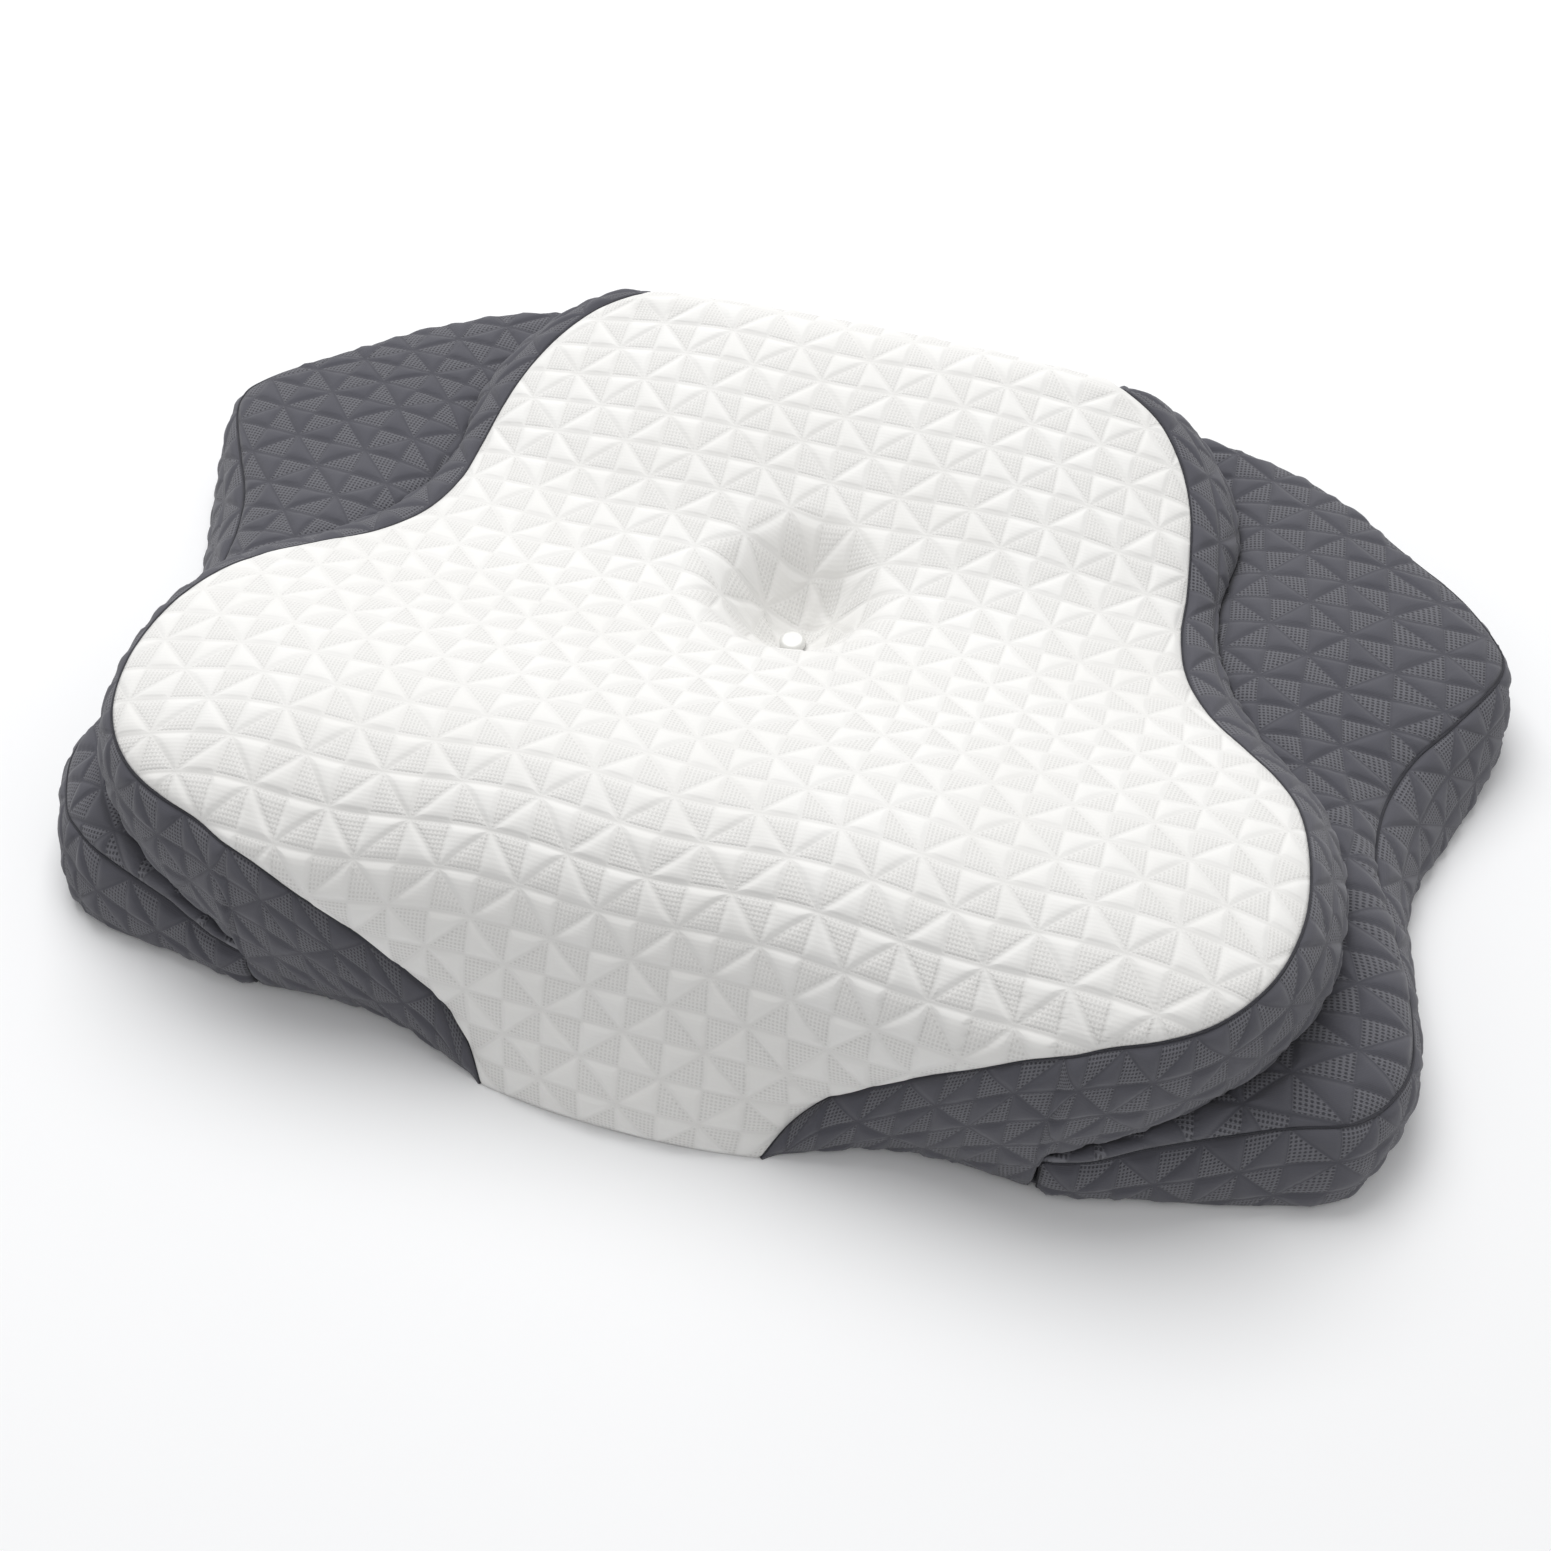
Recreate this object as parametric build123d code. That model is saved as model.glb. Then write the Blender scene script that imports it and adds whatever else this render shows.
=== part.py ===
from build123d import *
import math
import os

# Contoured cervical pillow on a four-lobed base: a zipped quilted cover over a moulded foam core.
# Millimetres, +Z up, resting on z = 0. X is the width, -Y the neck side, +Y the head side.
# The origin is the middle of the footprint, on the floor.

# overall sizes
pillow_width = 638.0
pillow_depth = 424.0
roll_height = 115.0          # crest of the neck roll
valley_height = 67.0         # head hollow, before the dimple
ridge_height = 98.0          # head-side ridge
base_rear_height = 47.0      # arm wings at the head side
base_front_height = 31.0     # arm wings at the neck side
arch_height = 121.0          # shallow arch over the width that lowers the roll's two ends
arch_side_height = 84.0
dimple_depth = 40.0
dimple_mouth_radius = 38.0
dimple_floor_radius = 13.0
dimple_place = 38.0          # behind the middle of the footprint

# cover, liner and foam
cover_thickness = 4.0
rim_seam = 11.0              # the white panel's seam, in from the rim of the upper body
bottom_inset = 2.0           # the bottom panel's seam, in from the outline
liner_gap = 3.6              # room between cover and liner
liner_thickness = 1.0
foam_gap = 0.4

# zip in the head-side gusset
zip_length = 316.0
zip_height = 22.0            # its middle line above the floor
zip_slot = 8.0
zip_run = 300.0              # travel of the slider
strip_length = 344.0
tape_length = 340.0
tape_thickness = 0.8
tape_overlap = 5.0
coil_width = 2.4             # one half
coil_depth = 2.0
stop_length = 4.0
fit_gap = 0.3
slider_length = 9.0
slider_plate = 1.2
flange_thickness = 0.6
flange_inset = 1.5           # from the plate's ends
bar_radius = 0.6
knuckle_radius = 1.2
knuckle_width = 2.4
cheek_thickness = 0.9
cheek_length = 3.0
pull_length = 22.0
pull_width = 6.0
pull_thickness = 1.2
pull_hole_radius = 1.5

# button and what holds it down
button_radius = 6.0
button_height = 4.0
button_rise = 2.0            # its underside above the bottom of the dimple
shank_radius = 1.4
shank_hole_radius = 2.2
shank_drop = 7.0             # shank's end below the bottom of the dimple
patch_thickness = 0.8
tether_radius = 1.0
core_hole_radius = 9.0
patch_radius = core_hole_radius - 1.0
anchor_radius = 13.0
anchor_patch_radius = 18.0
anchor_thickness = 2.0
label_length = 60.0
label_width = 36.0
label_thickness = 0.4

dimple_bottom = valley_height - dimple_depth
half_width = pillow_width / 2
half_depth = pillow_depth / 2
slab_top = roll_height + 60.0
outside = 60.0               # how far cutting shapes reach past the body
past = 5.0
stand_out = 2 * knuckle_radius
rear_wall = half_depth - stand_out


def in_plan(points):
    return [(x * half_width, y * half_depth) for x, y in points]


# Right halves of the plan outlines, neck side first, in shares of the half width and half depth.
upper_outline = in_plan([(0.0, -1.0), (0.141, -0.986), (0.207, -0.953), (0.282, -0.896), (0.351, -0.868),
                         (0.439, -0.863), (0.527, -0.855), (0.605, -0.812), (0.680, -0.745), (0.759, -0.635),
                         (0.800, -0.519), (0.815, -0.396), (0.812, -0.272), (0.795, -0.163), (0.750, -0.042),
                         (0.688, 0.066), (0.624, 0.189), (0.583, 0.300), (0.567, 0.425), (0.568, 0.533),
                         (0.560, 0.656), (0.530, 0.790), (0.470, 0.895), (0.380, 0.930), (0.188, 0.935),
                         (0.0, 0.935)])
base_outline = in_plan([(0.0, -0.77), (0.19, -0.77), (0.34, -0.775), (0.44, -0.80), (0.50, -0.842),
                        (0.56, -0.870), (0.64, -0.873), (0.74, -0.852), (0.83, -0.812), (0.900, -0.742),
                        (0.938, -0.60), (0.944, -0.42), (0.930, -0.24), (0.920, -0.07), (0.943, 0.08),
                        (0.980, 0.22), (0.998, 0.37), (1.0, 0.48), (0.980, 0.60), (0.935, 0.70),
                        (0.875, 0.79), (0.79, 0.88), (0.69, 0.95)]) + [(0.58 * half_width, rear_wall)]
# Where white meets grey on the neck wall and on the head wall, as half widths over heights.
neck_seam = [(60.0, -10.0), (61.0, 0.0), (71.0, 18.0), (86.0, 33.0), (103.0, 43.0), (122.0, 54.0),
             (141.0, 69.0), (160.0, 83.0), (177.0, 97.0), (190.0, 125.0)]
head_seam = [(97.0, 20.0), (101.0, 50.0), (108.0, 70.0), (122.0, 90.0), (150.0, 112.0)]

# Side view of the upper body: shares of the half depth, and heights.
crown_profile = [(-1.0, 2.0), (-0.90, 48.0), (-0.82, 84.0), (-0.74, 104.0), (-0.60, roll_height),
                 (-0.35, 104.0), (-0.08, 78.0), (0.16, valley_height), (0.40, 77.0), (0.62, 93.0),
                 (0.78, ridge_height), (0.88, 90.0), (0.94, 66.0)]


def mirrored(points):
    return [(-x, y) for x, y in reversed(points)]


def pulled_in(points, inset):
    """A closed ring of plan points, each moved inwards along its own normal."""
    count = len(points)
    ring = []
    for i, (x, y) in enumerate(points):
        before = points[i - 1]
        after = points[(i + 1) % count]
        along = (after[0] - before[0], after[1] - before[1])
        length = math.hypot(*along)
        ring.append((x - inset * along[1] / length, y + inset * along[0] / length))
    return ring


def upper_face(inset):
    ring = pulled_in(mirrored(upper_outline)[1:] + upper_outline[1:-1], inset)
    return make_face(Spline(ring, periodic=True))


def base_face(inset):
    """The four-lobed base outline; its head side is one straight run for the zip."""
    ring = pulled_in(mirrored(base_outline)[:-1] + base_outline, inset)
    ring[0] = (-base_outline[-1][0], rear_wall - inset)
    ring[-1] = (base_outline[-1][0], rear_wall - inset)
    return make_face([Spline(ring), Line(ring[-1], ring[0])])


def prism(face, low, high):
    return extrude(Pos(0, 0, low) * face, amount=high - low)


def block(x_low, x_high, y_low, y_high, z_low, z_high):
    middle = ((x_low + x_high) / 2, (y_low + y_high) / 2, (z_low + z_high) / 2)
    return Pos(*middle) * Box(x_high - x_low, y_high - y_low, z_high - z_low)


def rod(radius, low, high, x=0.0, y=0.0):
    return Pos(x, y, (low + high) / 2) * Cylinder(radius, high - low)


def below_crown(inset):
    """Under the roll, hollow and ridge, over the whole width, with the dimple sunk into it."""
    line = [(share * half_depth, height - inset) for share, height in crown_profile]
    start = line[0]
    end = line[-1]
    floor = -inset - 1.0
    rest = Polyline(end, (end[0] + past, floor), (start[0] - past, floor), start)
    body = extrude(Plane.YZ * make_face([Spline(line), rest]), amount=half_width, both=True)
    flare = (dimple_mouth_radius - dimple_floor_radius) / dimple_depth
    tall = dimple_depth + inset + outside
    dimple = Cone(dimple_floor_radius, dimple_floor_radius + flare * tall, tall)
    return body - Pos(0, dimple_place, dimple_bottom - inset + tall / 2) * dimple


def below_arch(inset):
    """Under a shallow arch across the width."""
    low = (-half_width, arch_side_height - inset)
    high = (half_width, arch_side_height - inset)
    floor = -inset - 2.0
    arch = ThreePointArc(low, (0, arch_height - inset), high)
    rest = Polyline(high, (half_width, floor), (-half_width, floor), low)
    return extrude(Plane.XZ * make_face([arch, rest]), amount=half_depth + outside, both=True)


def base_slab(inset):
    """Under the wings' sloping top, over the whole plan."""
    end = half_depth + outside
    slope = (base_rear_height - base_front_height) / pillow_depth
    low = base_front_height - slope * outside - inset
    high = base_rear_height + slope * outside - inset
    section = Polyline((-end, inset), (end, inset), (end, high), (-end, low), close=True)
    return extrude(Plane.YZ * make_face(section), amount=half_width + outside, both=True)


def upper_body(inset):
    return prism(upper_face(inset), inset, slab_top) & below_arch(inset) & below_crown(inset)


def base_body(inset):
    return prism(base_face(inset), 0, slab_top) & base_slab(inset)


def envelope(inset):
    return upper_body(inset) + base_body(inset)


def seam_wall(half_line, y_low, y_high):
    """Everything above a seam that is drawn on a front or rear wall."""
    left = Spline([(-x, z) for x, z in reversed(half_line)])
    right = Spline(half_line)
    edges = [left, Line(left @ 1, right @ 0), right, Line(right @ 1, left @ 0)]
    face = Plane.XZ.offset(-y_low) * make_face(edges)
    return extrude(face, amount=-(y_high - y_low))


def cover_panels():
    """The sewn cover: a hollow skin, cut along its seams."""
    upper_floor = prism(upper_face(bottom_inset), 0, cover_thickness)
    base_floor = prism(base_face(bottom_inset), 0, cover_thickness)
    upper_column = prism(upper_face(0), -1.0, slab_top)
    upper_skin = upper_body(0) - upper_body(cover_thickness) - base_body(cover_thickness)
    upper_skin = upper_skin - base_floor - upper_floor
    base_skin = base_body(0) - base_body(cover_thickness) - upper_column - base_floor

    inner_sides = prism(upper_face(rim_seam), -1.0, slab_top)
    crown_skin = upper_skin & inner_sides
    walls = upper_skin - inner_sides
    neck = seam_wall(neck_seam, -half_depth - past, -half_depth / 2)
    head = seam_wall(head_seam, half_depth / 2, half_depth + past)
    button_hole = rod(shank_hole_radius, 0, slab_top, 0.0, dimple_place)
    top = crown_skin + (walls & neck) + (walls & head) - button_hole
    gussets = walls - neck - head

    lowered = base_slab(0).moved(Location((0, 0, -cover_thickness - fit_gap)))
    tops = base_skin - lowered
    sides = base_skin & lowered
    rear_low = rear_wall - cover_thickness
    rear_high = half_depth + 1.0
    half_strip = strip_length / 2
    strip_room = block(-half_strip, half_strip, rear_low, rear_high, -1.0, slab_top)
    strip = sides & strip_room
    sides = sides - strip_room
    slot_high = zip_height + zip_slot / 2
    slot_low = zip_height - zip_slot / 2
    above = block(-half_width, half_width, rear_low - 1.0, rear_high, slot_high, slab_top)
    below = block(-half_width, half_width, rear_low - 1.0, rear_high, -1.0, slot_low)
    left = block(-half_width - past, 0, -half_depth - past, half_depth + past, -1.0, slab_top)
    return {
        "top_panel": top,
        "bottom_panel": base_floor + upper_floor,
        "upper_gusset_left": gussets & left,
        "upper_gusset_right": gussets - left,
        "base_top_left": tops & left,
        "base_top_right": tops - left,
        "base_gusset_left": sides & left,
        "base_gusset_right": sides - left,
        "zip_strip_upper": strip & above,
        "zip_strip_lower": strip & below,
    }


def filling():
    """Foam core and its knitted liner, both open down the middle for the button's tether."""
    liner_outside = cover_thickness + liner_gap
    liner_inside = liner_outside + liner_thickness
    shaft = rod(core_hole_radius, -1.0, slab_top, 0.0, dimple_place)
    return {
        "inner_liner": envelope(liner_outside) - envelope(liner_inside) - shaft,
        "foam_core": envelope(liner_inside + foam_gap) - shaft,
    }


def zip_parts():
    """Zip tapes, the two halves of the coil, end stops, slider and pull."""
    tape_back = rear_wall - cover_thickness - tape_thickness
    tape_front = rear_wall - cover_thickness
    coil_front = tape_front + coil_depth
    half = zip_length / 2
    reach = zip_slot / 2 + tape_overlap
    tape_end = tape_length / 2
    coil_span = (-half, half, tape_front, coil_front)
    stop_end = half + stop_length
    stop = block(half, stop_end, tape_front, coil_front, zip_height - coil_width, zip_height + coil_width)
    stops = Part() + [stop, mirror(stop, about=Plane.YZ)]

    start = -zip_run / 2
    x_low = start - slider_length / 2
    x_high = start + slider_length / 2
    plate_back = coil_front + fit_gap
    plate_front = plate_back + slider_plate
    plate_half = zip_slot / 2 - 2 * fit_gap
    slider = block(x_low, x_high, plate_back, plate_front, zip_height - plate_half, zip_height + plate_half)
    slider = fillet(slider.edges().filter_by(Axis.Y), radius=2 * flange_thickness)
    bar_y = rear_wall + knuckle_radius
    cheek_inner = knuckle_width / 2 + fit_gap
    cheek_outer = cheek_inner + cheek_thickness
    for side in (-1, 1):
        outer = zip_height + side * plate_half
        inner = outer - side * flange_thickness
        z_low, z_high = sorted((outer, inner))
        flange_back = tape_front + fit_gap
        slider += block(x_low + flange_inset, x_high - flange_inset, flange_back, plate_back, z_low, z_high)
        z_low, z_high = sorted((zip_height + side * cheek_inner, zip_height + side * cheek_outer))
        cheek_low = start - cheek_length / 2
        cheek_high = start + cheek_length / 2
        slider += block(cheek_low, cheek_high, plate_front, rear_wall + stand_out, z_low, z_high)
    bar = Pos(start, bar_y, zip_height) * Cylinder(bar_radius, 2 * cheek_outer)
    slider += bar

    knuckle = Pos(start, bar_y, zip_height) * Cylinder(knuckle_radius, knuckle_width)
    pull_end = start + pull_length
    pull_back = bar_y - pull_thickness / 2
    pull_front = bar_y + pull_thickness / 2
    blade_half = knuckle_width / 2
    blade = block(start, pull_end, pull_back, pull_front, zip_height - blade_half, zip_height + blade_half)
    paddle_half = pull_width / 2
    paddle_start = start + cheek_length
    paddle_low = zip_height - paddle_half
    paddle_high = zip_height + paddle_half
    paddle = block(paddle_start, pull_end, pull_back, pull_front, paddle_low, paddle_high)
    paddle = fillet(paddle.edges().filter_by(Axis.Y), radius=pull_width / 3)
    drill = Rot(90, 0, 0) * Cylinder(pull_hole_radius, 4 * pull_thickness)
    hole = Pos(pull_end - paddle_half, bar_y, zip_height) * drill
    eye = Pos(start, bar_y, zip_height) * Cylinder(bar_radius + fit_gap, knuckle_width + 1)
    pull = knuckle + blade + paddle - hole - eye
    return {
        "zip_tape_upper": block(-tape_end, tape_end, tape_back, tape_front, zip_height, zip_height + reach),
        "zip_tape_lower": block(-tape_end, tape_end, tape_back, tape_front, zip_height - reach, zip_height),
        "zip_coil_upper": block(*coil_span, zip_height, zip_height + coil_width),
        "zip_coil_lower": block(*coil_span, zip_height - coil_width, zip_height),
        "zip_stops": stops,
        "zip_slider": slider,
        "zip_pull": pull,
    }


def button_parts():
    """Button with its moulded shank, its stay patches, tether and anchor disc."""
    place = (0.0, dimple_place)
    seat = dimple_bottom + button_rise
    shank_end = dimple_bottom - shank_drop
    cap = rod(button_radius, seat, seat + button_height, *place)
    cap = fillet(cap.edges().group_by(Axis.Z)[-1], radius=button_height * 0.45)
    cap = fillet(cap.edges().group_by(Axis.Z)[0], radius=button_height * 0.2)
    patch_top = dimple_bottom - cover_thickness
    patch = rod(patch_radius, patch_top - 2 * patch_thickness, patch_top - patch_thickness, *place)
    anchor_low = cover_thickness + patch_thickness
    anchor_high = anchor_low + anchor_thickness
    anchor = rod(anchor_radius, anchor_low, anchor_high, *place)
    anchor = fillet(anchor.edges().group_by(Axis.Z)[-1], radius=anchor_thickness * 0.4)
    label_x = half_width / 3
    label_y = rear_wall - 2 * label_width
    label_low = cover_thickness
    return {
        "button": cap + rod(shank_radius, shank_end, seat + button_height / 2, *place),
        "button_patch": patch - rod(shank_hole_radius, 0, slab_top, *place),
        "button_tether": rod(tether_radius, anchor_high, shank_end, *place),
        "anchor_disc": anchor,
        "anchor_patch": rod(anchor_patch_radius, cover_thickness, anchor_low, *place),
        "care_label": block(label_x, label_x + label_length, label_y, label_y + label_width,
                            label_low, label_low + label_thickness),
    }


os.makedirs("parts", exist_ok=True)
pieces = {**cover_panels(), **filling(), **zip_parts(), **button_parts()}
for node, shape in pieces.items():
    export_step(shape, f"parts/{node}.step")
    print(node, len(shape.solids()), round(shape.volume))
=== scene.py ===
import bmesh
import bpy
import math
import numpy as np
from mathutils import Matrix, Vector


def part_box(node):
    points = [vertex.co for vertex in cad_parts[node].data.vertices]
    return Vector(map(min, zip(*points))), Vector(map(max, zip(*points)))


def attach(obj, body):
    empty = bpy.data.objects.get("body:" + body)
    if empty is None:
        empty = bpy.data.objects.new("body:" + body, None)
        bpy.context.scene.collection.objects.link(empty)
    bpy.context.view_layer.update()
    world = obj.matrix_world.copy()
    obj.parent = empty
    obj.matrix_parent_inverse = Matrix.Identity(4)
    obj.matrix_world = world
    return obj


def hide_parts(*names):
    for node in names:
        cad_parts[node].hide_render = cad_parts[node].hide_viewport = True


# Contoured cervical pillow: quilted white top, slate gussets and base, zip on the head side.
# Metres, +Z up, neck roll towards -Y, zip towards +Y.

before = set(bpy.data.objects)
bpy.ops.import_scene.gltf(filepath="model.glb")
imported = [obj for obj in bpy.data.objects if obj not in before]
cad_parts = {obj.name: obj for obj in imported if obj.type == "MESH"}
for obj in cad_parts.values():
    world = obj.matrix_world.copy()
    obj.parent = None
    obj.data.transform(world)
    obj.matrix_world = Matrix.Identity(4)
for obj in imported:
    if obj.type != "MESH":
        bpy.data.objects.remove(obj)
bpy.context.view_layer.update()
print("frame loaded")


mm = 0.001
# One row per cross-section of the right half, from the neck side's floor over the roll to the head side.
# Each row: top seam (x, y, z), middle line (y, z), crease (x, y, z).
upperRows = np.array([
    (60, -207, 0, -212, 0, 61, -207.3, 0), (70, -195, 15, -207, 16, 67, -203, 0),
    (85, -187, 30, -200, 32, 78, -198, 0), (103, -184, 41, -193, 47, 93, -191, 0),
    (122, -183, 55, -185, 64, 112, -186, 0), (141, -184, 70, -177, 80, 134, -185, 0),
    (156, -182, 79, -170, 91, 153, -186.5, 0), (168, -179.5, 83, -165, 97, 165, -187.5, 0),
    (175, -177.5, 84.5, -162, 100, 168, -186.5, 21), (187, -172.5, 87.5, -158, 103, 180, -181, 27),
    (204, -166.5, 90.5, -152, 107, 200, -172.5, 34), (220, -157, 93, -146, 110.5, 219, -158.5, 39),
    (233, -143, 96, -137, 113, 237, -141, 42), (242, -124, 97, -125, 115, 249, -123, 44),
    (246, -98, 97, -105, 113, 257, -101, 45), (243, -70, 96, -82, 106, 259, -70, 46),
    (236, -43, 89.5, -56, 96, 257, -41, 46), (225, -22, 81.5, -34, 86, 249, -16, 46.5),
    (210, -4, 74.5, -14, 78, 233, 1, 47), (192, 17, 66.5, 8, 71, 214, 26, 47),
    (178, 41, 61, 28, 67.5, 199, 48, 47), (171, 66, 59.5, 48, 67.5, 189, 70, 47),
    (169, 88, 61.5, 66, 70, 184, 93, 47.5), (165.5, 110, 69, 90, 77, 184.5, 113, 48),
    (160.5, 131, 75, 112, 84.5, 186, 130, 48), (151, 151, 82, 136, 91.5, 183, 147, 48),
    (137, 168, 88.5, 158, 96.5, 174, 169, 48), (119, 177.5, 94, 174, 98, 160, 189, 48),
    (111, 186.5, 84, 188, 91, 142, 196, 48), (105, 193, 66, 195, 71, 122, 199, 47.5),
    (99, 198.5, 47, 200, 47, 100, 200, 47)], float) * mm
# Crease, base seam and floor line of the lower cushion, from the short upright seam
# to the middle of the head side.
lowerRows = np.array([
    (168, -186.5, 21, 169, -188.5, 21, 169, -187.5, 0), (180, -181, 27, 188, -185.5, 24, 187, -187.5, 0),
    (200, -172.5, 34, 208, -179, 29, 207, -185, 0), (219, -158.5, 39, 235, -170, 34.5, 233, -181, 0),
    (237, -141, 42, 260, -160, 38, 259, -173.5, 0), (249, -123, 44, 282, -148, 39, 282, -160, 0),
    (257, -101, 45, 296, -120, 39, 297, -122, 0), (259, -70, 46, 294, -88, 38, 298, -88, 0),
    (257, -41, 46, 285, -54, 37, 295, -54, 0), (249, -16, 46.5, 277, -22, 37, 291, -20, 0),
    (233, 1, 47, 275, 2, 37.5, 294, 4, 0), (214, 26, 47, 277, 22, 38, 300, 20, 0),
    (199, 48, 47, 283, 43, 39.5, 306, 38, 0), (189, 70, 47, 295, 65, 41, 313, 62, 0),
    (184, 93, 47.5, 308, 90, 42.5, 317, 86, 0), (184.5, 113, 48, 311.5, 108, 43, 314, 104, 0),
    (186, 130, 48, 307, 123, 43, 309, 120, 0), (183, 147, 48, 296, 140, 43, 298, 138, 0),
    (174, 169, 48, 276, 162, 43, 278, 160, 0), (160, 189, 48, 245, 188.5, 43, 246, 186, 0),
    (142, 196, 48, 205, 205, 43, 205, 203.5, 0), (122, 199, 47.5, 160, 210, 43, 160, 208.5, 0),
    (100, 200, 47, 110, 210.5, 43, 110, 209, 0), (50, 200.3, 47, 55, 210.5, 43, 55, 209, 0),
    (0, 200.3, 47, 0, 210.5, 43, 0, 209, 0)], float) * mm
dimplePlace = 38 * mm
baseInset = {"most": 8 * mm, "frontShare": 0.62, "rearGain": 0.5, "zipCut": 0.87}


def insetForPuff(rows):
    # Base seam and floor line moved in by what puff and bow add later. The distance grows from nothing at
    # the upright seam over the front wing to the rear wing, and falls away beside the zip.
    places = np.arange(len(rows))
    frontShare = baseInset["frontShare"]
    share = smoothStep(0, 3, places) * (frontShare + (1 - frontShare) * smoothStep(6, 9, places))
    share *= 1 + baseInset["rearGain"] * smoothStep(14, 18, places)
    share *= 1 - baseInset["zipCut"] * smoothStep(18.5, 22, places)
    for first in (3, 6):
        slope = np.gradient(rows[:, first:first + 2], axis=0)
        slope /= np.linalg.norm(slope, axis=1, keepdims=True)
        rows[:, first] -= baseInset["most"] * share * slope[:, 1]
        rows[:, first + 1] += baseInset["most"] * share * slope[:, 0]
    return rows


def throughRows(rows, at):
    # Catmull-Rom: between rows i and i+1 the cubic whose end slopes are half the step
    # between their neighbours.
    last = len(rows) - 1
    i = np.clip(np.floor(at).astype(int), 0, last - 1)
    t = (at - i)[:, None]
    p0, p1 = rows[np.maximum(i - 1, 0)], rows[i]
    p2, p3 = rows[i + 1], rows[np.minimum(i + 2, last)]
    return 0.5 * (2 * p1 + (p2 - p0) * t + (2 * p0 - 5 * p1 + 4 * p2 - p3) * t ** 2
                  + (3 * p1 - p0 - 3 * p2 + p3) * t ** 3)


def evenPlaces(rows, first, last, spacing):
    # Places along the rows whose steps have equal length, measured on the mean of the rows' curves.
    fine = np.linspace(first, last, 1600)
    points = throughRows(rows, fine)
    steps = np.linalg.norm(np.diff(points, axis=0), axis=1) / math.sqrt(points.shape[1] / 3)
    length = np.concatenate([[0], np.cumsum(steps)])
    count = int(math.ceil(length[-1] / spacing)) + 1
    return np.interp(np.linspace(0, length[-1], count), length, fine)


def pathLength(points):
    # Running length along axis 0.
    steps = np.linalg.norm(np.diff(points, axis=0), axis=-1)
    return np.concatenate([np.zeros_like(steps[:1]), np.cumsum(steps, axis=0)])


def gridNormals(points):
    # Cross product of the two directions' central differences, made unit length.
    alongRows = np.gradient(points, axis=0)
    acrossRows = np.gradient(points, axis=1)
    normal = np.cross(acrossRows, alongRows)
    return normal / np.maximum(np.linalg.norm(normal, axis=-1, keepdims=True), 1e-12)


def softNormals(points):
    # Mean of the normals of six rows on either side, so that a sharp turn of one edge doesn't tear the puff.
    reach = 6
    normal = gridNormals(points)
    padded = np.concatenate([normal[:1]] * reach + [normal] + [normal[-1:]] * reach)
    total = sum(padded[i:i + len(normal)] for i in range(2 * reach + 1))
    return total / np.maximum(np.linalg.norm(total, axis=-1, keepdims=True), 1e-12)


def smoothStep(low, high, value):
    # 3 t^2 - 2 t^3, with t running from 0 at low to 1 at high.
    t = np.clip((value - low) / (high - low), 0, 1)
    return t * t * (3 - 2 * t)


lowerRows = insetForPuff(lowerRows)

quilt = {
    "whiteCell": (16.6 * mm, 16.6 * mm), "greyCell": (18 * mm, 15.5 * mm), "greyTurn": 8,
    "grooveWidth": 0.27, "acrossLift": 0.07, "diagonalLift": 0.03, "flatShare": 0.45,
    "whitePuff": 1.15 * mm, "greyPuff": 1.6 * mm,
}


def looseCloth(s, t):
    # The pattern drifts by a few hundredths of a cell, as slow sines of the place.
    return (s + 0.07 * np.sin(0.9 * t + 0.4) + 0.05 * np.sin(0.55 * s + 1.1 * t),
            t + 0.07 * np.sin(0.8 * s + 1.3) + 0.05 * np.sin(0.6 * t - 0.9 * s + 0.6))


def quiltHeight(s, t):
    # Square cells cut by diagonals: the distance to the nearest of four families of lines, rounded into a puff.
    # The lines along s are the deepest, the diagonals less, the lines along t the least.
    # Every other triangle is an open mesh that stands lower.
    nearest = np.minimum(np.abs(s - np.round(s)) + quilt["acrossLift"], np.abs(t - np.round(t)))
    for line in ((s - t) / 2, (s + t) / 2):
        away = np.abs(line - np.round(line)) * math.sqrt(2)
        nearest = np.minimum(nearest, away + quilt["diagonalLift"])
    puff = 1 - (1 - np.clip(nearest / quilt["grooveWidth"], 0, 1)) ** 2
    odd = (np.floor(s) + np.floor(t) + np.floor((s - t) / 2) + np.floor((s + t) / 2)) % 2
    return puff * np.where(odd > 0.5, quilt["flatShare"], 1.0)


lie = {
    "rightOut": 8 * mm, "rightBand": (250 * mm, 285 * mm),
    "leftIn": 13 * mm, "leftBand": (245 * mm, 290 * mm),
    "leftForward": 6 * mm, "forwardBand": (180 * mm, 250 * mm), "frontBand": (-90 * mm, 20 * mm),
    "rearForward": 6 * mm, "slipBand": (170 * mm, 240 * mm), "rearBand": (110 * mm, 170 * mm),
}


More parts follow.
